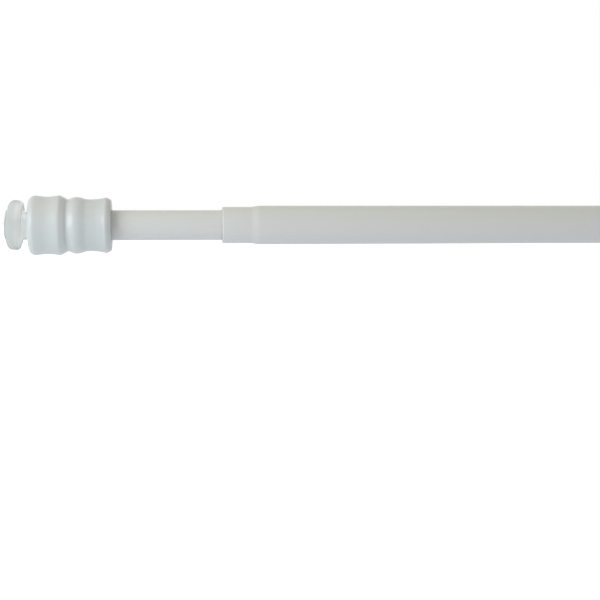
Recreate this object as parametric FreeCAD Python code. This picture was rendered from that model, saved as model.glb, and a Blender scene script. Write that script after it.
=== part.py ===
import FreeCAD, Part
import os

from FreeCAD import Vector

# Spring tension rod: a thin tube slides in a wide tube, and a spring inside presses the ends apart
# Millimetres. X runs along the rod from the left pad, Z is up, and the origin is the centre of
# the left pad's front face. The rod is modelled at its shortest, with the lock released.

# Whole rod
rod_length = 400.0  # from pad face to pad face
exposed_length = 36.7  # thin tube showing between the left cap and the wide tube
extension_share = 0.5  # how far the wide tube draws out, as a share of the rod's length
spring_travel = 25.0  # how far the two ends can be pressed together

# Fits
assembly_gap = 0.1  # radial gap between pieces put together for good
grip_gap = 0.05  # radial gap at ribs and teeth that hold by friction
running_gap = 0.08  # radial gap of a turning or sliding fit
stop_gap = 0.3  # gap between flat faces that meet at a stop
guide_gap = 0.3  # radial gap between the guide bush and the wide tube

# Tubes
tube_wall = 0.5
thin_diameter = 10.0
wide_diameter = 13.0
neck_diameter = 12.2  # the wide tube is drawn in at its mouth
neck_length = 9.2
shoulder_length = 3.3
bead_depth = 0.5  # rolled ridge inside the thin tube that the stop rests on
bead_width = 2.0

# Foot pads
pad_diameter = 16.2
pad_thickness = 5.3
pad_rim_depth = 2.6  # length of the rounded front rim
pad_rim_steps = 3  # the rim is drawn as this many cones
pad_rim_bend = 2.5  # power of the rim's curve, higher where it levels off sooner
pad_back_chamfer = 0.7
pad_face_diameter = 9.6
pad_dish_diameter = 8.2
pad_dish_depth = 0.7
pad_neck_diameter = 9.4
pad_neck_length = 2.3
pad_stem_diameter = 8.0
pad_stem_length = 6.0
pad_hole_diameter = 3.5

# End caps
cap_length = 26.8
cap_rear_diameter = 16.6
cap_web = 7.0  # from the cap's front face to the end of the tube
# waved outside of a cap, as distance from its front face and radius
cap_waves = [
    (0.0, 8.5),
    (0.6, 9.45),  # front round
    (1.9, 9.9),  # first crest
    (4.6, 9.47),  # first waist
    (7.0, 9.47),
    (9.9, 9.9),  # second crest
    (12.7, 8.6),  # groove
    (14.7, 9.4),  # third crest
    (15.8, 9.4),
    (18.5, 8.63),  # second waist
    (21.9, 8.63),
    (24.3, 9.15),  # rear crest
    (25.5, 9.15),
]

# Spring, its stop and its seat
spring_length = 45.0
spring_diameter = 7.4  # over the coils
spring_wire = 0.8
spring_active_turns = 9
spring_closed_turns = 1  # at each end
spring_closed_gap = 0.15  # between the wires of a closed turn
spring_steps = 14  # straight stretches in a turn
pilot_diameter = 5.2
pilot_length = 4.0
stop_length = 10.0
seat_length = 8.0
seat_floor = 1.5  # material left under the shaft

# Guide bush
spigot_length = 12.0
flange_length = 6.0
flange_chamfer = 0.5

# Lock
shaft_diameter = 4.0
shaft_flat = 0.5  # depth of the flat that keeps the core from turning
shaft_tip = 1.5  # shaft standing out of the washer
core_diameter = 10.6
core_flange = 3.0
core_collar_diameter = 9.6
core_collar = 1.6
core_nose_diameter = 8.0
core_nose = 3.0
journal_diameter = 7.0
journal_length = 12.0
journal_offset = 0.4  # the journal sits this far below the rod's axis
ring_end_gap = 0.2
ring_slit = 1.6
flute_count = 3
flute_spacing = 90.0
flute_radius = 0.6
flute_depth = 0.35
washer_diameter = 6.8
washer_thickness = 0.5
washer_slots = 5
washer_slot_width = 0.7
washer_slot_depth = 0.9

# What follows from the sizes above
thin_radius = thin_diameter / 2
thin_bore = thin_radius - tube_wall
wide_radius = wide_diameter / 2
wide_bore = wide_radius - tube_wall
neck_radius = neck_diameter / 2
neck_bore = neck_radius - tube_wall
plug_radius = thin_bore - assembly_gap
seat_radius = thin_bore - running_gap
guide_radius = wide_bore - guide_gap
shaft_radius = shaft_diameter / 2
journal_radius = journal_diameter / 2
pilot_radius = pilot_diameter / 2
cap_front_x = pad_thickness + pad_neck_length
cap_rear_x = cap_front_x + cap_length
thin_start_x = cap_front_x + cap_web
mouth_x = cap_rear_x + exposed_length
neck_end_x = mouth_x + neck_length
shoulder_end_x = neck_end_x + shoulder_length
wide_end_x = rod_length - thin_start_x
thin_end_x = shoulder_end_x + rod_length * extension_share + stop_gap
spigot_start_x = thin_end_x - spigot_length
flange_end_x = thin_end_x + flange_length
seat_end_x = spigot_start_x - stop_gap
seat_start_x = seat_end_x - seat_length
stop_end_x = seat_start_x - spring_length
stop_start_x = stop_end_x - stop_length
bead_x = stop_start_x - bead_width / 2
core_start_x = flange_end_x + spring_travel + stop_gap
journal_start_x = core_start_x + core_flange
journal_end_x = journal_start_x + journal_length
core_end_x = journal_end_x + core_collar + core_nose
washer_end_x = core_end_x + washer_thickness
shaft_start_x = seat_start_x + seat_floor
shaft_end_x = washer_end_x + shaft_tip
rod_axis = Vector(1, 0, 0)


def at(x, radius):
    return Vector(x, 0, radius)


def rounded_rim(depth, face, disc):
    # points of a curve that rises from the edge of the flat face and levels off at the disc's radius
    points = []
    for n in range(pad_rim_steps + 1):
        share = n / pad_rim_steps
        points.append((depth * share, disc - (disc - face) * (1 - share) ** pad_rim_bend))
    return points


def turned(corners):
    # the outline through the corners, spun once about the rod's axis
    outline = Part.makePolygon([at(*corner) for corner in corners + corners[:1]])
    return Part.Face(outline).revolve(Vector(0, 0, 0), rod_axis, 360)


def rod(start_x, end_x, radius, drop=0.0):
    return Part.makeCylinder(radius, end_x - start_x, Vector(start_x, 0, -drop), rod_axis)


def block(start_x, end_x, width, low, high):
    return Part.makeBox(end_x - start_x, width, high - low, Vector(start_x, -width / 2, low))


def around(shape, angle):
    copy = shape.copy()
    copy.rotate(Vector(0, 0, 0), rod_axis, angle)
    return copy


def right_hand(shape):
    # the same piece at the other end of the rod
    return shape.mirror(Vector(rod_length / 2, 0, 0), rod_axis)


def foot_pad():
    # soft disc on a narrow neck, with a dished face and a hollow stem that plugs into the cap
    hole = pad_hole_diameter / 2
    dish = pad_dish_diameter / 2
    disc = pad_diameter / 2
    neck = pad_neck_diameter / 2
    stem = pad_stem_diameter / 2
    stem_end = cap_front_x + pad_stem_length
    return turned([
        (pad_dish_depth, hole),
        (pad_dish_depth, dish),
        (0, dish),
        *rounded_rim(pad_rim_depth, pad_face_diameter / 2, disc),
        (pad_thickness - pad_back_chamfer, disc),
        (pad_thickness, disc - pad_back_chamfer),
        (pad_thickness, neck),
        (cap_front_x, neck),
        (cap_front_x, stem),
        (stem_end, stem),
        (stem_end, hole),
    ])


def end_cap(tube_radius):
    # waved barrel with a socket for the pad's stem in front and a bore for the tube behind
    socket = pad_stem_diameter / 2 + assembly_gap
    bore = tube_radius + grip_gap
    bore_start = cap_front_x + cap_web
    return turned([
        (cap_front_x, socket),
        *[(cap_front_x + place, radius) for place, radius in cap_waves],
        (cap_rear_x, cap_rear_diameter / 2),
        (cap_rear_x, bore),
        (bore_start, bore),
        (bore_start, socket),
    ])


def thin_tube():
    # straight tube with one ridge rolled inwards, which the spring's stop rests on
    outside, inside = [
        [
            (thin_start_x, radius),
            (bead_x - bead_width / 2, radius),
            (bead_x, radius - bead_depth),
            (bead_x + bead_width / 2, radius),
            (thin_end_x, radius),
        ]
        for radius in (thin_radius, thin_bore)
    ]
    return turned(outside + inside[::-1])


def wide_tube():
    # straight tube drawn in at its mouth, so that the bush can't leave it
    outside, inside = [
        [(mouth_x, neck), (neck_end_x, neck), (shoulder_end_x, radius), (wide_end_x, radius)]
        for neck, radius in ((neck_radius, wide_radius), (neck_bore, wide_bore))
    ]
    return turned(outside + inside[::-1])


def spring_stop():
    # plug that the fixed end of the spring bears on, with a pilot inside the coils
    pilot_end = stop_end_x + pilot_length
    return turned([
        (stop_start_x, 0),
        (stop_start_x, plug_radius),
        (stop_end_x, plug_radius),
        (stop_end_x, pilot_radius),
        (pilot_end, pilot_radius),
        (pilot_end, 0),
    ])


def coil_place(turn):
    # distance of the wire's middle from the stop after so many turns
    closed = spring_wire + spring_closed_gap
    closed_length = closed * spring_closed_turns
    active = (spring_length - spring_wire - 2 * closed_length) / spring_active_turns
    opened = min(max(turn - spring_closed_turns, 0), spring_active_turns)
    return spring_wire / 2 + closed * (turn - opened) + active * opened


def coil_corners(turn):
    # corners of the square wire, in the plane through the rod's axis
    middle = (spring_diameter - spring_wire) / 2
    half = spring_wire / 2
    x = stop_end_x + coil_place(turn)
    turned_by = FreeCAD.Rotation(rod_axis, 360 * turn)
    return [
        turned_by.multVec(at(x + along * half, middle + out * half))
        for along, out in ((-1, -1), (1, -1), (1, 1), (-1, 1))
    ]


def flat_face(*corners):
    return Part.Face(Part.makePolygon([*corners, corners[0]]))


def compression_spring():
    # square wire wound from the stop to the seat, with a closed turn at each end
    turns = spring_active_turns + 2 * spring_closed_turns
    sections = [coil_corners(n / spring_steps) for n in range(turns * spring_steps + 1)]
    faces = [flat_face(*sections[0]), flat_face(*sections[-1])]
    for near, far in zip(sections, sections[1:]):
        for n in range(4):
            faces.append(flat_face(near[n - 1], near[n], far[n]))
            faces.append(flat_face(near[n - 1], far[n], far[n - 1]))
    coil = Part.makeShell(faces)
    coil.sewShape()
    return Part.makeSolid(coil)


def guide_bush():
    # bush pressed into the end of the thin tube, which guides the shaft and centres the tube
    bore = shaft_radius + running_gap
    return turned([
        (spigot_start_x, bore),
        (spigot_start_x, plug_radius),
        (thin_end_x, plug_radius),
        (thin_end_x, guide_radius - flange_chamfer),
        (thin_end_x + flange_chamfer, guide_radius),
        (flange_end_x, guide_radius),
        (flange_end_x, bore),
    ])


def spring_seat():
    # piston on the end of the shaft, pressed by the moving end of the spring
    bore = shaft_radius + grip_gap
    pilot_start = seat_start_x - pilot_length
    return turned([
        (pilot_start, 0),
        (pilot_start, pilot_radius),
        (seat_start_x, pilot_radius),
        (seat_start_x, seat_radius),
        (seat_end_x, seat_radius),
        (seat_end_x, bore),
        (shaft_start_x, bore),
        (shaft_start_x, 0),
    ])


def shaft_section(start_x, end_x, gap):
    # round bar with one flat, as the shaft is at the core, or its hole at a gap around it
    bar = rod(start_x, end_x, shaft_radius + gap)
    flat_height = shaft_radius - shaft_flat + gap
    return bar.cut(block(start_x, end_x, 2 * shaft_diameter, flat_height, shaft_diameter))


def lock_shaft():
    shaft = rod(shaft_start_x, shaft_end_x, shaft_radius)
    flat_height = shaft_radius - shaft_flat
    flat = block(core_start_x, shaft_end_x, 2 * shaft_diameter, flat_height, shaft_diameter)
    return shaft.cut(flat)


def eccentric_core():
    # flange, offset journal and coned nose, moulded in one and pushed on the shaft's flat
    front = rod(core_start_x, journal_start_x, core_diameter / 2)
    journal = rod(journal_start_x, journal_end_x, journal_radius, journal_offset)
    back = turned([
        (journal_end_x, 0),
        (journal_end_x, core_collar_diameter / 2),
        (journal_end_x + core_collar, core_collar_diameter / 2),
        (core_end_x, core_nose_diameter / 2),
        (core_end_x, 0),
    ])
    hole = shaft_section(core_start_x, core_end_x, grip_gap)
    return journal.fuse([front, back]).cut(hole)


def lock_ring():
    # split ring on the journal that drags in the wide tube and jams there when it is turned
    start = journal_start_x + ring_end_gap
    end = journal_end_x - ring_end_gap
    radius = wide_bore - running_gap
    ring = rod(start, end, radius)
    bore = rod(start, end, journal_radius + running_gap, journal_offset)
    slit = block(start, end, ring_slit, -wide_bore, -journal_offset)
    flute = rod(start, end, flute_radius, -(radius + flute_radius - flute_depth))
    first = -flute_spacing * (flute_count - 1) / 2
    flutes = [around(flute, first + flute_spacing * n) for n in range(flute_count)]
    return ring.cut([bore, slit] + flutes)


def shaft_washer():
    # toothed washer pushed on the shaft to hold the core
    hole = shaft_radius + grip_gap
    washer = rod(core_end_x, washer_end_x, washer_diameter / 2)
    low = hole - grip_gap
    slot = block(core_end_x, washer_end_x, washer_slot_width, low, hole + washer_slot_depth)
    slots = [around(slot, 180 + 360 * n / washer_slots) for n in range(washer_slots)]
    return washer.cut([rod(core_end_x, washer_end_x, hole)] + slots)


pieces = {
    "inner_foot_pad": foot_pad(),
    "inner_end_cap": end_cap(thin_radius),
    "inner_tube": thin_tube(),
    "spring_stop": spring_stop(),
    "compression_spring": compression_spring(),
    "guide_bush": guide_bush(),
    "spring_seat": spring_seat(),
    "lock_shaft": lock_shaft(),
    "eccentric_core": eccentric_core(),
    "shaft_washer": shaft_washer(),
    "lock_ring": lock_ring(),
    "outer_tube": wide_tube(),
    "outer_end_cap": right_hand(end_cap(wide_radius)),
    "outer_foot_pad": right_hand(foot_pad()),
}

os.makedirs("parts", exist_ok=True)
for name, shape in pieces.items():
    shape.exportStep(f"parts/{name}.step")
    solid_count = len(shape.Solids)
    print(f"{name}: {solid_count} solid, {shape.Volume:.1f} mm3, valid {shape.isValid()}")
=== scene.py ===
import math

import bmesh
import bpy
from mathutils import Matrix, Vector


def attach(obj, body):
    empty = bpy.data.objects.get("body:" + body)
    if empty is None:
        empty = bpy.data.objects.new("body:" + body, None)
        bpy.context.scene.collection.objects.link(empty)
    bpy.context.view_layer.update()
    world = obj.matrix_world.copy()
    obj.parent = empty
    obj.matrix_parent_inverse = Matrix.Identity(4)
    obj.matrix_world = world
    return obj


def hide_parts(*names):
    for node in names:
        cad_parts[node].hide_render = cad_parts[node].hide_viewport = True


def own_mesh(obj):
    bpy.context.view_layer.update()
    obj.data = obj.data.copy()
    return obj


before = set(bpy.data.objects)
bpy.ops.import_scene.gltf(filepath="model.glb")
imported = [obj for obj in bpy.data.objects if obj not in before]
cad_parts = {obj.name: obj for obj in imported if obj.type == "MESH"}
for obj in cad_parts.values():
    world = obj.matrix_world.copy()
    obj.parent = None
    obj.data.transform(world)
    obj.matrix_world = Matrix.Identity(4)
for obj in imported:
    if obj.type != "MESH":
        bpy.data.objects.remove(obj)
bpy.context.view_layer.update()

scene = bpy.context.scene
mm = 0.001  # the pieces' sizes are in millimetres, the studio's and the shaders' in metres
weld = 1e-7  # points closer than this, in metres, are one


class Value:  # the output of a node, which can be used in a sum like a number
    def __init__(self, nodes, socket):
        self.nodes, self.socket = nodes, socket

    def math(self, operation, *others):
        inputs = {0: self}
        inputs.update({place + 1: other for place, other in enumerate(others)})
        return self.nodes.node("ShaderNodeMath", {"operation": operation}, inputs)

    def __add__(self, other): return self.math("ADD", other)
    def __radd__(self, other): return self.math("ADD", other)
    def __mul__(self, other): return self.math("MULTIPLY", other)
    def __rmul__(self, other): return self.math("MULTIPLY", other)
    def __truediv__(self, other): return self.math("DIVIDE", other)
    def __sub__(self, other): return self.math("SUBTRACT", other)
    def __rsub__(self, other): return (self * -1.0).math("ADD", other)
    def __rtruediv__(self, other): return self.math("POWER", -1.0) * other
    def __pow__(self, other): return self.math("POWER", other)
    def __neg__(self): return self * -1.0

    def clamped(self): return self.math("MINIMUM", 1.0).math("MAXIMUM", 0.0)

    def step(self, low, high):  # 0 below low, 1 above high, smooth between
        return self.nodes.node("ShaderNodeMapRange", {"interpolation_type": "SMOOTHSTEP"},
                               {"Value": self, "From Min": low, "From Max": high})


class Nodes:  # a node tree, and the one way of making a node in it
    def __init__(self, tree):
        self.tree = tree
        tree.nodes.clear()

    def node(self, kind, settings, inputs, output=0):
        made = self.tree.nodes.new(kind)
        for name, value in settings.items():
            setattr(made, name, value)
        for name, value in inputs.items():
            if isinstance(value, Value):
                self.tree.links.new(value.socket, made.inputs[name])
            else:
                made.inputs[name].default_value = value
        return Value(self, made.outputs[output] if made.outputs else None)

    def mix(self, share, first, second):  # inputs 6 and 7 and output 2 of the node are colours
        first, second = [c if isinstance(c, Value) else (*c, 1.0) for c in (first, second)]
        return self.node("ShaderNodeMix", {"data_type": "RGBA"},
                         {"Factor": share, 6: first, 7: second}, 2)


class Finish(Nodes):  # one material of a piece
    def __init__(self, name, **plain):
        self.made = bpy.data.materials.new(name)
        self.made.use_nodes = True
        super().__init__(self.made.node_tree)
        self.shader = self.node("ShaderNodeBsdfPrincipled", {}, plain)
        self.node("ShaderNodeOutputMaterial", {}, {"Surface": self.shader})
        self.place = self.node("ShaderNodeTexCoord", {}, {}, "Object")

    def axis(self, name):  # one coordinate of the place, in metres
        return self.node("ShaderNodeSeparateXYZ", {}, {0: self.place}, name)

    def fromAxis(self):  # distance from the rod's axis
        y, z = self.axis("Y"), self.axis("Z")
        return (y * y + z * z) ** 0.5

    def ripple(self, pitch):  # a wave from 0 to 1 along the rod
        return (self.axis("X") * (2 * math.pi / (pitch * mm))).math("SINE") * 0.5 + 0.5

    def noise(self, scale, detail=2.0, stretch=(1.0, 1.0, 1.0), roughness=0.5):
        place = self.node("ShaderNodeMapping", {}, {"Vector": self.place, "Scale": stretch})
        return self.node("ShaderNodeTexNoise", {}, {"Vector": place, "Scale": scale,
                         "Detail": detail, "Roughness": roughness}, "Fac")

    def bump(self, height, strength, distance, under=None):
        inputs = {"Height": height, "Strength": strength, "Distance": distance}
        if under is not None:
            inputs["Normal"] = under
        return self.node("ShaderNodeBump", {}, inputs, "Normal")

    def set(self, **inputs):
        shader = self.shader.socket.node
        for name, value in inputs.items():
            self.tree.links.new(value.socket, shader.inputs[name.replace("_", " ")])
        return self.made


class Shape(Nodes):  # a geometry tree with named inputs
    def __init__(self, name, inputs):
        super().__init__(bpy.data.node_groups.new(name, "GeometryNodeTree"))
        for title, kind in {"Geometry": "Geometry", **inputs, "Material": "Material"}.items():
            self.tree.interface.new_socket(title, in_out="INPUT", socket_type="NodeSocket" + kind)
        self.tree.interface.new_socket("Geometry", in_out="OUTPUT", socket_type="NodeSocketGeometry")
        self.entry = self.node("NodeGroupInput", {}, {}).socket.node

    def given(self, name):
        return Value(self, self.entry.outputs[name])

    def finished(self, geometry):
        real = self.node("GeometryNodeRealizeInstances", {}, {"Geometry": geometry})
        painted = self.node("GeometryNodeSetMaterial", {},
                            {"Geometry": real, "Material": self.given("Material")})
        self.node("NodeGroupOutput", {}, {"Geometry": painted})
        return self.tree


turnSizes = {"segments": 160, "railRadius": 10.0}


def turningTree():  # spins an outline, given as a loop of edges, round the rod's axis
    shape = Shape("turnedPiece", {"Segments": "Int", "Rail Radius": "Float"})
    line = shape.node("GeometryNodeMeshToCurve", {}, {"Mesh": shape.given("Geometry")})
    rail = shape.node("GeometryNodeCurvePrimitiveCircle", {},
                      {"Resolution": shape.given("Segments"), "Radius": shape.given("Rail Radius")})
    spun = shape.node("GeometryNodeCurveToMesh", {}, {"Curve": rail, "Profile Curve": line})
    laid = shape.node("GeometryNodeTransform", {},
                      {"Geometry": spun, "Rotation": (0.0, -math.pi / 2, 0.0)})
    return shape.finished(laid)


def bakedMesh(name, carrier, tree, values):  # the tree's result as a plain mesh object
    holder = bpy.data.objects.new(name, carrier)
    scene.collection.objects.link(holder)
    modifier = holder.modifiers.new("shape", "NODES")
    modifier.node_group = tree
    for socket in tree.interface.items_tree:
        if socket.in_out == "INPUT" and socket.name in values:
            modifier[socket.identifier] = values[socket.name]
    depsgraph = bpy.context.evaluated_depsgraph_get()
    mesh = bpy.data.meshes.new_from_object(holder.evaluated_get(depsgraph))
    holder.modifiers.clear()
    holder.data = mesh
    mesh.name = name
    return holder


def tidied(piece, sharpDegrees=35.0):  # doubles merged, normals outwards, smooth but for sharp edges
    work = bmesh.new()
    work.from_mesh(piece.data)
    bmesh.ops.remove_doubles(work, verts=work.verts, dist=weld)
    bmesh.ops.recalc_face_normals(work, faces=work.faces)
    for polygon in work.faces:
        polygon.smooth = True
    limit = math.radians(sharpDegrees)
    for edge in work.edges:
        edge.smooth = len(edge.link_faces) == 2 and edge.calc_face_angle() < limit
    work.to_mesh(piece.data)
    work.free()
    return piece


def easing(share):  # from 0 to 1 with level ends
    return share * share * (3 - 2 * share)


def smoothRun(points, steps):  # a smooth line through the points
    ends = [points[0], *points, points[-1]]
    run = []
    for a, b, c, d in zip(ends, ends[1:], ends[2:], ends[3:]):
        for n in range(steps):
            t = n / steps
            run.append(tuple(
                0.5 * (2 * q + (r - p) * t + (2 * p - 5 * q + 4 * r - s) * t * t
                       + (3 * q - p - 3 * r + s) * t ** 3)
                for p, q, r, s in zip(a, b, c, d)))
    return run + [points[-1]]


def eased(corner, before, after, size, steps=4, most=0.45):  # a corner rounded off over a size
    corner, before, after = Vector(corner), Vector(before), Vector(after)
    start = corner + (before - corner).normalized() * min(size, (before - corner).length * most)
    end = corner + (after - corner).normalized() * min(size, (after - corner).length * most)
    line = []
    for n in range(steps + 1):
        t = n / steps
        line.append(tuple((1 - t) ** 2 * start + 2 * t * (1 - t) * corner + t * t * end))
    return line


def outline(*parts):  # parts are (x, radius, rounding) corners and lists of plain points
    flat = []
    for part in parts:
        flat += [(*point, 0.0) for point in part] if isinstance(part, list) else [part]
    line = []
    for n, (x, radius, rounding) in enumerate(flat):
        before, after = flat[n - 1][:2], flat[(n + 1) % len(flat)][:2]
        line += eased((x, radius), before, after, rounding) if rounding else [(x, radius)]
    return line


rod = {"length": 400.0, "capFront": 7.6, "thinStart": 14.6, "mouth": 71.1, "neckEnd": 80.3,
       "shoulderEnd": 83.6}  # its length, and places along it
turning = turningTree()


def turnedPiece(name, line, material, body, *nodes, mirrored=False):
    if mirrored:
        line = [(rod["length"] - x, radius) for x, radius in line]
    count = len(line)
    carrier = bpy.data.meshes.new(name + "Outline")
    rail = turnSizes["railRadius"] * mm
    corners = [(radius * mm - rail, x * mm, 0.0) for x, radius in line]
    carrier.from_pydata(corners, [(n, (n + 1) % count) for n in range(count)], [])
    piece = bakedMesh(name, carrier, turning, {
        "Segments": turnSizes["segments"], "Rail Radius": rail, "Material": material})
    tidied(piece)
    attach(piece, body)
    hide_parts(*nodes)
    return piece


def coatedTube(name, cutEnd):  # baked pale coat on drawn steel tube, bare where its end was cut, with a painted highlight on that rim
    look = {"pale": (0.60, 0.60, 0.585), "cool": (0.585, 0.60, 0.605), "bareAndHighlight": (0.86, 0.87, 0.85),
            "speck": (0.45, 0.45, 0.44), "speckShare": 0.12, "shadeClouds": 0.35, "shadeDrawn": 0.65,
            "rimFrom": 0.08, "rimTo": 0.26, "bareAndHighlightShare": 0.9, "wornMetal": 0.25,
            "rough": 0.30, "roughDrawn": 0.10, "roughClouds": 0.05, "coat": 0.25, "coatDrawn": 0.10}
    finish = Finish(name, **{"IOR": 1.5, "Coat Roughness": 0.12, "Coat IOR": 1.45})
    clouds = finish.noise(scale=28.0, detail=3.0, stretch=(0.25, 1.0, 1.0))
    drawn = finish.noise(scale=60.0, detail=4.0, stretch=(0.02, 22.0, 22.0), roughness=0.6)  # along the tube
    peel = finish.noise(scale=900.0)
    specks = finish.noise(scale=2600.0, detail=1.0).step(0.70, 0.78)
    # bare steel at the cut end, made near-white as a painted highlight on the rounded rim
    bareCutAndHighlight = 1.0 - finish.axis("X").step((cutEnd + look["rimFrom"]) * mm, (cutEnd + look["rimTo"]) * mm)
    shade = (look["shadeClouds"] * clouds + look["shadeDrawn"] * drawn).clamped()
    paint = finish.mix(shade, look["pale"], look["cool"])
    paint = finish.mix(specks * look["speckShare"], paint, look["speck"])
    colour = finish.mix(bareCutAndHighlight * look["bareAndHighlightShare"], paint, look["bareAndHighlight"])
    rough = look["rough"] + look["roughDrawn"] * drawn + look["roughClouds"] * clouds
    normal = finish.bump(peel, strength=0.10, distance=0.0004)
    normal = finish.bump(drawn, strength=0.05, distance=0.0003, under=normal)
    return finish.set(Base_Color=colour, Metallic=bareCutAndHighlight * look["wornMetal"], Roughness=rough,
                      Coat_Weight=look["coat"] - look["coatDrawn"] * drawn, Normal=normal)


def whiteCap():  # glossy moulded plastic with a faint parting line along each side, and painted shade in its grooves
    look = {"crest": (0.576, 0.600, 0.607), "groove": (0.536, 0.561, 0.572), "scuff": (0.56, 0.57, 0.57),
            "grooveRadius": 8.5, "crestRadius": 9.9, "grooveShadeShare": 0.8, "tintFlow": 0.2, "scuffShare": 0.10,
            "partingFrom": 0.03, "partingTo": 0.14, "rough": 0.30, "roughFlow": 0.05, "roughScuff": 0.14,
            "coat": 0.15, "coatScuff": 0.10}
    finish = Finish("whiteCap", **{"IOR": 1.49, "Coat Roughness": 0.08, "Subsurface Weight": 0.12,
                                   "Subsurface Radius": (0.004, 0.004, 0.004), "Subsurface Scale": 0.4})
    height = finish.fromAxis().step(look["grooveRadius"] * mm, look["crestRadius"] * mm)
    flow = finish.noise(scale=120.0, detail=3.0, stretch=(0.5, 1.0, 1.0))
    grain = finish.noise(scale=2400.0, detail=1.0)
    scuffs = finish.noise(scale=500.0, detail=4.0, stretch=(0.12, 1.0, 1.0), roughness=0.7)
    scuffs = scuffs.step(0.56, 0.74) * height.step(0.6, 1.0)  # on the crests alone
    sideways = finish.axis("Z").math("ABSOLUTE")
    parting = 1.0 - sideways.step(look["partingFrom"] * mm, look["partingTo"] * mm)
    # painted shade: darker down in the grooves and lighter on the crests, mixed with a random flow tint
    tint = (look["grooveShadeShare"] * height + look["tintFlow"] * flow).clamped()
    colour = finish.mix(tint, look["groove"], look["crest"])
    colour = finish.mix(scuffs * look["scuffShare"], colour, look["scuff"])
    rough = look["rough"] + look["roughFlow"] * flow + look["roughScuff"] * scuffs
    normal = finish.bump(grain, strength=0.04, distance=0.0002)
    normal = finish.bump(parting, strength=0.25, distance=0.00006, under=normal)
    return finish.set(Base_Color=colour, Roughness=rough,
                      Coat_Weight=look["coat"] - look["coatScuff"] * scuffs, Normal=normal)


def clearPad():  # soft cloudy vinyl, a little green, with dust on it, painted light on its back, neck and deep hole, and painted shade in its dish and hole mouth
    look = {"clear": (0.77, 0.80, 0.78), "cloudy": (0.72, 0.745, 0.73), "neck": (0.95, 0.96, 0.94),
            "dish": (0.66, 0.685, 0.67), "hole": (0.46, 0.48, 0.47), "dust": (0.62, 0.61, 0.58),
            "dustShare": 0.10, "neckLightFrom": 2.8, "neckLightTo": 4.8, "dishFloor": 0.9, "dishRim": 1.3,
            "dishFrom": 4.1, "dishTo": 4.4, "holeFrom": 1.8, "holeTo": 2.4, "deepFrom": 4.4, "deepTo": 5.2,
            "rough": 0.68, "roughCloud": 0.10, "roughDust": 0.20}
    finish = Finish("clearPad", **{"IOR": 1.5, "Transmission Weight": 0.8, "Subsurface Weight": 0.85,
                                   "Subsurface Radius": (0.008, 0.0085, 0.008), "Subsurface Scale": 1.0})
    cloud = finish.noise(scale=180.0, detail=3.0)
    dust = finish.noise(scale=1500.0, detail=3.0, roughness=0.7).step(0.55, 0.75)
    grain = finish.noise(scale=1100.0)
    colour = finish.mix(cloud.step(0.3, 0.7), look["clear"], look["cloudy"])
    colour = finish.mix(dust * look["dustShare"], colour, look["dust"])
    middle = rod["length"] / 2 * mm
    fromEnd = middle - (finish.axis("X") - middle).math("ABSOLUTE")  # the same for both pads
    radius = finish.fromAxis()
    thin = fromEnd.step(look["neckLightFrom"] * mm, look["neckLightTo"] * mm)
    colour = finish.mix(thin, colour, look["neck"])  # painted light on the disc's back and on its neck, which lie in shade
    # painted shade: darker across the shallow dish in the face
    shallow = 1.0 - fromEnd.step(look["dishFloor"] * mm, look["dishRim"] * mm)
    dish = shallow * (1.0 - radius.step(look["dishFrom"] * mm, look["dishTo"] * mm))
    colour = finish.mix(dish, colour, look["dish"])
    # painted shade darkens the hole near the face, and painted light lifts it to the neck's colour further
    # in
    deepLightShare = fromEnd.step(look["deepFrom"] * mm, look["deepTo"] * mm)
    hole = finish.mix(deepLightShare, look["hole"], look["neck"])
    colour = finish.mix(radius.step(look["holeFrom"] * mm, look["holeTo"] * mm), hole, colour)
    rough = look["rough"] + look["roughCloud"] * cloud + look["roughDust"] * dust
    normal = finish.bump(grain, strength=0.06, distance=0.0003)
    return finish.set(Base_Color=colour, Roughness=rough, Normal=normal)


def nylon(name, warm):  # natural nylon, a little cloudy, with faint rings from turning
    look = {"dimmed": 0.90, "ring": (0.60, 0.56, 0.46), "ringShare": 0.05, "ringPitch": 0.35,
            "rough": 0.42, "roughCloud": 0.12, "roughRings": 0.05}
    finish = Finish(name, **{"IOR": 1.53, "Subsurface Weight": 0.2,
                             "Subsurface Radius": (0.004, 0.003, 0.002), "Subsurface Scale": 0.3})
    cloud = finish.noise(scale=160.0, detail=3.0)
    grain = finish.noise(scale=1800.0)
    rings = finish.ripple(look["ringPitch"])
    colour = finish.mix(cloud.step(0.3, 0.7), warm, tuple(c * look["dimmed"] for c in warm))
    colour = finish.mix(rings * look["ringShare"], colour, look["ring"])
    rough = look["rough"] + look["roughCloud"] * cloud + look["roughRings"] * rings
    normal = finish.bump(grain, strength=0.08, distance=0.0003)
    normal = finish.bump(rings, strength=0.06, distance=0.00005, under=normal)
    return finish.set(Base_Color=colour, Roughness=rough, Normal=normal)


def platedSteel(name, bright, tint):  # bright steel with a faint tint that drifts over it, and some grease
    look = {"grease": (0.34, 0.30, 0.22), "greaseShare": 0.25, "greaseMetal": 0.25, "linePitch": 0.22,
            "rough": 0.24, "roughSpangle": 0.12, "roughGrease": 0.18}
    finish = Finish(name, **{"IOR": 2.2})
    drift = finish.noise(scale=90.0, detail=3.0, stretch=(0.4, 1.0, 1.0))
    spangle = finish.noise(scale=1600.0, detail=3.0, roughness=0.65)
    lines = finish.ripple(look["linePitch"])
    grease = finish.noise(scale=240.0).step(0.55, 0.72)
    colour = finish.mix(drift.step(0.3, 0.7), bright, tint)
    colour = finish.mix(grease * look["greaseShare"], colour, look["grease"])
    rough = look["rough"] + look["roughSpangle"] * spangle + look["roughGrease"] * grease
    normal = finish.bump(spangle, strength=0.06, distance=0.0002)
    normal = finish.bump(lines, strength=0.05, distance=0.00004, under=normal)
    return finish.set(Base_Color=colour, Metallic=1.0 - look["greaseMetal"] * grease, Roughness=rough,
                      Normal=normal)


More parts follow.
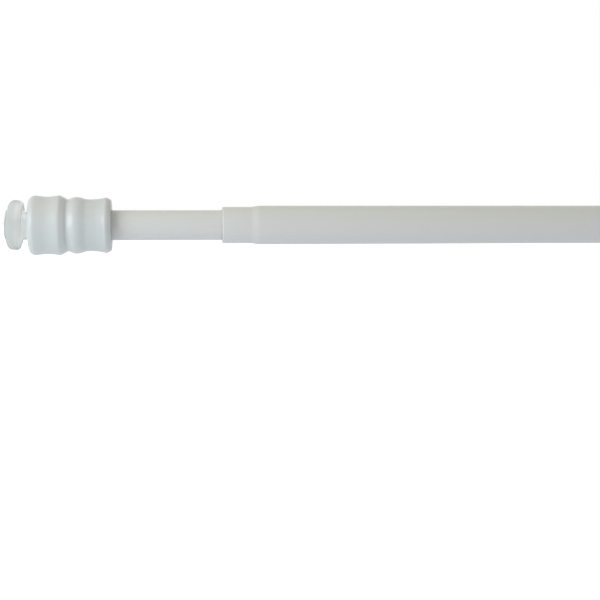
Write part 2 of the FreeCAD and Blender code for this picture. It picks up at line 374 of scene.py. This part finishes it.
print("finishes")
tones = {"bush": (0.78, 0.75, 0.66), "core": (0.72, 0.73, 0.70), "zinc": (0.66, 0.67, 0.70),
         "yellowed": (0.70, 0.68, 0.56), "wire": (0.52, 0.53, 0.55), "wireTint": (0.44, 0.45, 0.48)}
thinTubeFinish = coatedTube("thinTubeCoat", rod["thinStart"])
wideTubeFinish = coatedTube("wideTubeCoat", rod["mouth"])
capFinish = whiteCap()
padFinish = clearPad()
bushFinish = nylon("nylonBush", tones["bush"])
coreFinish = nylon("nylonCore", tones["core"])
shaftFinish = platedSteel("zincSteel", tones["zinc"], tones["yellowed"])
wireFinish = platedSteel("springWire", tones["wire"], tones["wireTint"])


pad = {"thickness": 5.3, "radius": 8.15, "faceRadius": 4.8, "rimDepth": 2.6, "rimBend": 2.5,
       "rimSteps": 32, "backStart": 4.5, "backRadius": 7.3, "dishRadius": 4.4, "dishDepth": 0.7,
       "ringRadius": 6.3, "ringStep": 0.18, "ringWidth": 0.25, "neckRadius": 4.7, "stemRadius": 4.0,
       "stemEnd": 13.6, "holeRadius": 1.75, "leanDegrees": 3.8,
       "rounding": {"hole": 0.2, "dish": 0.25, "face": 0.2, "back": 0.6, "neck": 0.5, "stem": 0.4}}


def padLine():
    rounding, rim = pad["rounding"], []
    for n in range(pad["rimSteps"] + 1):  # rises steeply from the face and levels off, with a moulded step
        share = n / pad["rimSteps"]
        radius = pad["radius"] - (pad["radius"] - pad["faceRadius"]) * (1 - share) ** pad["rimBend"]
        within = min(max((pad["ringRadius"] - radius) / pad["ringWidth"] + 0.5, 0.0), 1.0)
        rim.append((pad["rimDepth"] * share + (pad["ringStep"] * within if n else 0.0), radius))
    return outline(
        (pad["dishDepth"], pad["holeRadius"], rounding["hole"]),
        (pad["dishDepth"], pad["dishRadius"], rounding["dish"]),
        (0.0, pad["dishRadius"], rounding["face"]), rim,
        (pad["backStart"], pad["radius"], rounding["back"]),
        (pad["thickness"], pad["backRadius"], rounding["back"]),
        (pad["thickness"], pad["neckRadius"], rounding["neck"]),
        (rod["capFront"], pad["neckRadius"], 0.0), (rod["capFront"], pad["stemRadius"], 0.0),
        (pad["stemEnd"], pad["stemRadius"], rounding["stem"]), (pad["stemEnd"], pad["holeRadius"], 0.0))


def leant(piece):  # the soft disc sits a little askew on its neck, its top towards the cap
    neckStart, neckEnd = pad["thickness"] * mm, rod["capFront"] * mm
    for vertex in piece.data.vertices:
        share = min(max((neckEnd - vertex.co.x) / (neckEnd - neckStart), 0.0), 1.0)
        angle = math.radians(pad["leanDegrees"]) * easing(share)
        x, z = vertex.co.x - neckStart, vertex.co.z
        vertex.co.x = neckStart + x * math.cos(angle) + z * math.sin(angle)
        vertex.co.z = z * math.cos(angle) - x * math.sin(angle)
    return piece


print("foot pads")
leant(turnedPiece("footPadLeft", padLine(), padFinish, "inner_rod", "inner_foot_pad"))
turnedPiece("footPadRight", padLine(), padFinish, "outer_rod", "outer_foot_pad",
                    mirrored=True)


cap = {"length": 26.8, "web": 7.0, "socket": 4.1, "rearRadius": 8.3, "leftBore": 5.05, "rightBore": 6.55,
       "waveSteps": 6, "rounding": {"socket": 0.2, "rear": 0.12, "bore": 0.2},
       "waves": [(0.0, 8.3), (0.25, 8.92), (0.8, 9.48), (1.8, 9.84), (3.4, 9.70), (5.6, 9.48),
                 (7.5, 9.58), (9.6, 9.88), (10.4, 9.74), (11.5, 9.22), (12.5, 8.64), (13.4, 8.84),
                 (14.3, 9.24), (15.3, 9.40), (16.6, 9.24), (18.5, 8.70), (20.2, 8.62), (22.0, 8.70),
                 (23.8, 8.98), (24.6, 9.17), (25.1, 9.22), (25.8, 9.0), (26.5, 8.55)]}


def capLine(bore):
    front, rear = rod["capFront"], rod["capFront"] + cap["length"]
    boreStart, rounding = front + cap["web"], cap["rounding"]
    waves = smoothRun([(front + place, radius) for place, radius in cap["waves"]], cap["waveSteps"])
    return outline(
        (front, cap["socket"], rounding["socket"]), waves,
        (rear, cap["rearRadius"], rounding["rear"]), (rear, bore, rounding["bore"]),
        (boreStart, bore, 0.0), (boreStart, cap["socket"], 0.0))


print("end caps")
turnedPiece("endCapLeft", capLine(cap["leftBore"]), capFinish, "inner_rod",
                    "inner_end_cap")
turnedPiece("endCapRight", capLine(cap["rightBore"]), capFinish, "outer_rod", "outer_end_cap",
                    mirrored=True)


tubes = {"wall": 0.5, "thinRadius": 5.0, "thinEnd": 283.9, "bead": 207.6, "beadWidth": 2.0,
         "beadDepth": 0.5, "beadSteps": 16, "wideRadius": 6.5, "neckRadius": 6.1, "wideEnd": 385.4,
         "shoulderSteps": 24,
         "rounding": {"thin": 0.12, "thinBore": 0.08, "mouth": 0.14, "wide": 0.1, "wideBore": 0.1}}


def thinTubeLine():
    start, end, radius = rod["thinStart"], tubes["thinEnd"], tubes["thinRadius"]
    bore, rounding = radius - tubes["wall"], tubes["rounding"]
    bead = []
    for n in range(tubes["beadSteps"] + 1):  # ridge rolled inwards
        share = n / tubes["beadSteps"]
        bead.append((tubes["bead"] + tubes["beadWidth"] * (share - 0.5),
                     -tubes["beadDepth"] * 0.5 * (1 - math.cos(2 * math.pi * share))))
    outer = [(x, radius + drop) for x, drop in bead]
    inner = [(x, bore + drop) for x, drop in bead][::-1]
    return outline((start, radius, rounding["thin"]), outer, (end, radius, rounding["thin"]),
                   (end, bore, rounding["thinBore"]), inner, (start, bore, rounding["thinBore"]))


def shoulder(neck, wide):  # where the mouth was drawn in
    line = []
    for n in range(tubes["shoulderSteps"] + 1):
        share = n / tubes["shoulderSteps"]
        line.append((rod["neckEnd"] + (rod["shoulderEnd"] - rod["neckEnd"]) * share,
                     neck + (wide - neck) * easing(share)))
    return line


def wideTubeLine():
    neck, wide, wall = tubes["neckRadius"], tubes["wideRadius"], tubes["wall"]
    rounding = tubes["rounding"]
    return outline((rod["mouth"], neck, rounding["mouth"]), shoulder(neck, wide),
                   (tubes["wideEnd"], wide, rounding["wide"]),
                   (tubes["wideEnd"], wide - wall, rounding["wideBore"]),
                   shoulder(neck - wall, wide - wall)[::-1],
                   (rod["mouth"], neck - wall, rounding["wideBore"]))


print("tubes")
turnedPiece("thinTube", thinTubeLine(), thinTubeFinish, "inner_rod", "inner_tube")
turnedPiece("wideTube", wideTubeLine(), wideTubeFinish, "outer_rod", "outer_tube")


spring = {"start": 218.6, "length": 45.0, "coilRadius": 3.3, "wire": 0.8, "turns": 11, "closedTurns": 1,
          "closedPitch": 0.95, "stepsPerTurn": 40, "wireSides": 14, "pressedLength": 20.0,
          "sharpDegrees": 50.0}


def springTree():  # wire along a coil, with closed end turns
    sizes = {name: "Float" for name in ("Start", "Length", "Coil Radius", "Wire", "Turns", "Closed Turns",
                                        "Closed Pitch")}
    shape = Shape("coilSpring", {**sizes, "Steps Per Turn": "Int", "Wire Sides": "Int"})
    given, node = shape.given, shape.node
    line = node("GeometryNodeMeshLine", {}, {"Count": given("Turns") * given("Steps Per Turn") + 1.0})
    turn = node("GeometryNodeInputIndex", {}, {}) / given("Steps Per Turn")
    openTurns = given("Turns") - given("Closed Turns") * 2.0
    opened = (turn - given("Closed Turns")).math("MAXIMUM", 0.0).math("MINIMUM", openTurns)
    closedLength = given("Closed Turns") * 2.0 * given("Closed Pitch")
    openPitch = (given("Length") - given("Wire") - closedLength) / openTurns
    start = given("Start") + given("Wire") * 0.5
    along = start + (turn - opened) * given("Closed Pitch") + opened * openPitch
    angle = turn * (2 * math.pi)
    across, up = -(angle.math("SINE") * given("Coil Radius")), angle.math("COSINE") * given("Coil Radius")
    place = node("ShaderNodeCombineXYZ", {}, {"X": along, "Y": across, "Z": up})
    path = node("GeometryNodeMeshToCurve", {}, {
        "Mesh": node("GeometryNodeSetPosition", {}, {"Geometry": line, "Position": place})})
    section = node("GeometryNodeCurvePrimitiveCircle", {},
                   {"Resolution": given("Wire Sides"), "Radius": given("Wire") * 0.5})
    return shape.finished(node("GeometryNodeCurveToMesh", {}, {
        "Curve": path, "Profile Curve": section, "Fill Caps": True}))


print("spring")
coil = bakedMesh("coilSpring", bpy.data.meshes.new("coilCarrier"), springTree(), {
    "Start": spring["start"] * mm, "Length": spring["length"] * mm,
    "Coil Radius": spring["coilRadius"] * mm, "Wire": spring["wire"] * mm,
    "Turns": float(spring["turns"]), "Closed Turns": float(spring["closedTurns"]),
    "Closed Pitch": spring["closedPitch"] * mm, "Steps Per Turn": spring["stepsPerTurn"],
    "Wire Sides": spring["wireSides"], "Material": wireFinish})
tidied(coil, spring["sharpDegrees"])
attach(coil, "inner_rod")
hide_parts("compression_spring")
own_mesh(coil)


print("inner pieces")
innerFinishes = {"spring_stop": bushFinish, "guide_bush": bushFinish, "spring_seat": coreFinish,
                 "eccentric_core": coreFinish, "lock_ring": bushFinish, "lock_shaft": shaftFinish,
                 "shaft_washer": shaftFinish}
for name, finish in innerFinishes.items():
    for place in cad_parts[name].material_slots:
        place.material = finish


studio = {"floorDrop": 0.055, "floorSize": 6.0, "floorColour": (0.84, 0.88, 0.93), "floorLift": 0.70,
          "floorGlow": 0.283, "glowColour": (0.85, 0.855, 1.0), "worldLight": 0.429,
          "worldColour": (1.0, 0.984, 0.92)}
lamps = {"keyLamp": {"place": (-0.38, -0.35, 0.18), "target": (0.055, 0.0, 0.0), "size": (0.4, 0.4),
                     "power": 2.07, "colour": (0.93, 0.98, 1.0)},
         "topLamp": {"place": (-0.1, -0.1, 0.9), "target": (0.10, 0.0, 0.0), "size": (1.2, 1.0),
                     "power": 1.72, "colour": (1.0, 0.94, 0.55)}}
shot = {"focal": 1170.0, "frame": 600.0, "yaw": 6.2, "distance": 0.3965, "aimX": 0.0974,
        "rise": 0.0073, "aimRow": 224.95, "sensor": 36.0, "nearest": 0.01, "farthest": 20.0}


def seenThrough(nodes):  # 1 for rays from the camera and for rays that have passed through a piece
    straight = nodes.node("ShaderNodeLightPath", {}, {}, "Is Camera Ray")
    return straight.math("MAXIMUM", nodes.node("ShaderNodeLightPath", {}, {}, "Is Transmission Ray"))


def studioFloor():
    mesh = bpy.data.meshes.new("studioFloor")
    half = studio["floorSize"] / 2
    corners = [(-half, -half, 0), (half, -half, 0), (half, half, 0), (-half, half, 0)]
    mesh.from_pydata(corners, [], [(0, 1, 2, 3)])
    floor = bpy.data.objects.new("studioFloor", mesh)
    scene.collection.objects.link(floor)
    floor.location = (rod["length"] / 2 * mm, 0.0, -studio["floorDrop"])
    material = bpy.data.materials.new("floorPaper")
    material.use_nodes = True
    paper = Nodes(material.node_tree)
    strength = seenThrough(paper) * studio["floorLift"] + studio["floorGlow"]
    matt = paper.node("ShaderNodeBsdfDiffuse", {}, {"Color": (*studio["floorColour"], 1.0)})
    lit = paper.node("ShaderNodeEmission", {},
                     {"Color": (*studio["glowColour"], 1.0), "Strength": strength})
    both = paper.node("ShaderNodeAddShader", {}, {0: matt, 1: lit})
    paper.node("ShaderNodeOutputMaterial", {}, {"Surface": both})
    mesh.materials.append(material)


def studioWorld():
    world = bpy.data.worlds.new("studioWorld")
    scene.world = world
    world.use_nodes = True
    sky = Nodes(world.node_tree)
    seen = seenThrough(sky).math("MAXIMUM", sky.node("ShaderNodeLightPath", {}, {}, "Is Glossy Ray"))
    strength = seen * (1.0 - studio["worldLight"]) + studio["worldLight"]
    colour = sky.mix(seen, studio["worldColour"], (1.0, 1.0, 1.0))
    back = sky.node("ShaderNodeBackground", {}, {"Color": colour, "Strength": strength})
    sky.node("ShaderNodeOutputWorld", {}, {"Surface": back})


def softLamp(name, place, target, size, power, colour):
    light = bpy.data.lights.new(name, "AREA")
    light.shape = "RECTANGLE"
    light.size, light.size_y = size
    light.energy, light.color = power, colour
    lamp = bpy.data.objects.new(name, light)
    scene.collection.objects.link(lamp)
    lamp.location = place
    lamp.rotation_euler = (Vector(target) - Vector(place)).to_track_quat("-Z", "Y").to_euler()


def photoCamera():
    yaw = math.radians(shot["yaw"])
    forward = Vector((math.sin(yaw), math.cos(yaw), 0.0))
    right = Vector((math.cos(yaw), -math.sin(yaw), 0.0))
    place = Vector((shot["aimX"], 0.0, shot["rise"])) - forward * shot["distance"]
    above = math.atan2(shot["frame"] / 2 - shot["aimRow"], shot["focal"])  # the rod lies above the middle
    pitch = above + math.atan2(shot["rise"], shot["distance"])
    look = forward * math.cos(pitch) - Vector((0, 0, math.sin(pitch)))
    up = right.cross(look)
    data = bpy.data.cameras.new("photoCamera")
    data.sensor_width = shot["sensor"]
    data.lens = shot["sensor"] * shot["focal"] / shot["frame"]
    data.clip_start, data.clip_end = shot["nearest"], shot["farthest"]
    camera = bpy.data.objects.new("photoCamera", data)
    scene.collection.objects.link(camera)
    turn = Matrix((right, up, -look)).transposed()
    camera.matrix_world = Matrix.Translation(place) @ turn.to_4x4()
    scene.camera = camera


print("studio")
studioFloor()
studioWorld()
for name, values in lamps.items():
    softLamp(name, **values)
photoCamera()
scene.view_settings.view_transform = "Standard"
